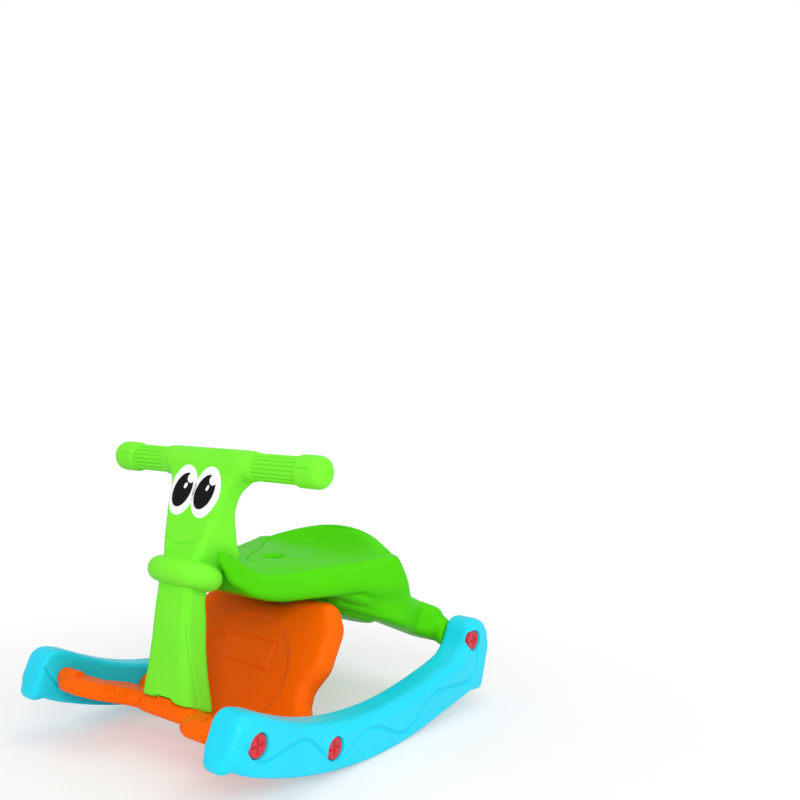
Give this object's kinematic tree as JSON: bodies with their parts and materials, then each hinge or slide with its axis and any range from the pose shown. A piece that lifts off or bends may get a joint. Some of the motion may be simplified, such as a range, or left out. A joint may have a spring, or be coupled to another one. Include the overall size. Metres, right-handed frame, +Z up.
{
  "type": "balance rocker",
  "caption": "Child's plastic balance rocker with a raised saddle, a handlebar on a leaning column with a round collar, and curved runners",
  "frame": {"origin": "on the ground, under the middle of the toy's bounding box", "axes": "+X is the rider's left, +Y points to the toy's rear (it faces -Y), +Z is up"},
  "size_m": [0.412, 0.5797, 0.4003],
  "materials": {
    "blue_plastic": "gloss",
    "orange_plastic": "gloss",
    "light_green_plastic": "gloss",
    "green_plastic": "gloss",
    "red_plastic": "satin",
    "eye_print": "satin"
  },
  "bodies": {
    "root": {"rocker_left": "blue_plastic", "rocker_right": "blue_plastic", "base_panel": "orange_plastic", "support_panel": "orange_plastic", "seat": "green_plastic", "head_column": "light_green_plastic", "eye_sticker": "eye_print"},
    "front_screw_left": {"front_screw_left": "red_plastic"},
    "middle_screw_left": {"middle_screw_left": "red_plastic"},
    "rear_screw_left": {"rear_screw_left": "red_plastic"},
    "front_screw_right": {"front_screw_right": "red_plastic"},
    "middle_screw_right": {"middle_screw_right": "red_plastic"},
    "rear_screw_right": {"rear_screw_right": "red_plastic"},
    "column_screw": {"column_screw": "red_plastic"},
    "seat_screw": {"seat_screw": "red_plastic"}
  },
  "joints": [
    {"name": "front_screw_left_turn", "type": "hinge", "parent": "root", "child": "front_screw_left", "pos_m": [0.203, -0.2402, 0.085], "axis": [1, 0, 0], "continuous": true},
    {"name": "middle_screw_left_turn", "type": "hinge", "parent": "root", "child": "middle_screw_left", "pos_m": [0.203, -0.1022, 0.039], "axis": [1, 0, 0], "continuous": true},
    {"name": "rear_screw_left_turn", "type": "hinge", "parent": "root", "child": "rear_screw_left", "pos_m": [0.203, 0.2358, 0.105], "axis": [1, 0, 0], "continuous": true},
    {"name": "front_screw_right_turn", "type": "hinge", "parent": "root", "child": "front_screw_right", "pos_m": [-0.203, -0.2402, 0.085], "axis": [-1, 0, 0], "continuous": true},
    {"name": "middle_screw_right_turn", "type": "hinge", "parent": "root", "child": "middle_screw_right", "pos_m": [-0.203, -0.1022, 0.039], "axis": [-1, 0, 0], "continuous": true},
    {"name": "rear_screw_right_turn", "type": "hinge", "parent": "root", "child": "rear_screw_right", "pos_m": [-0.203, 0.2358, 0.105], "axis": [-1, 0, 0], "continuous": true},
    {"name": "column_screw_turn", "type": "hinge", "parent": "root", "child": "column_screw", "pos_m": [0, -0.188, 0.05183], "axis": [0, -0.3156, -0.9489], "continuous": true},
    {"name": "seat_screw_turn", "type": "hinge", "parent": "root", "child": "seat_screw", "pos_m": [0, 0.0053, 0.205], "axis": [0, 0, 1], "continuous": true}
  ]
}
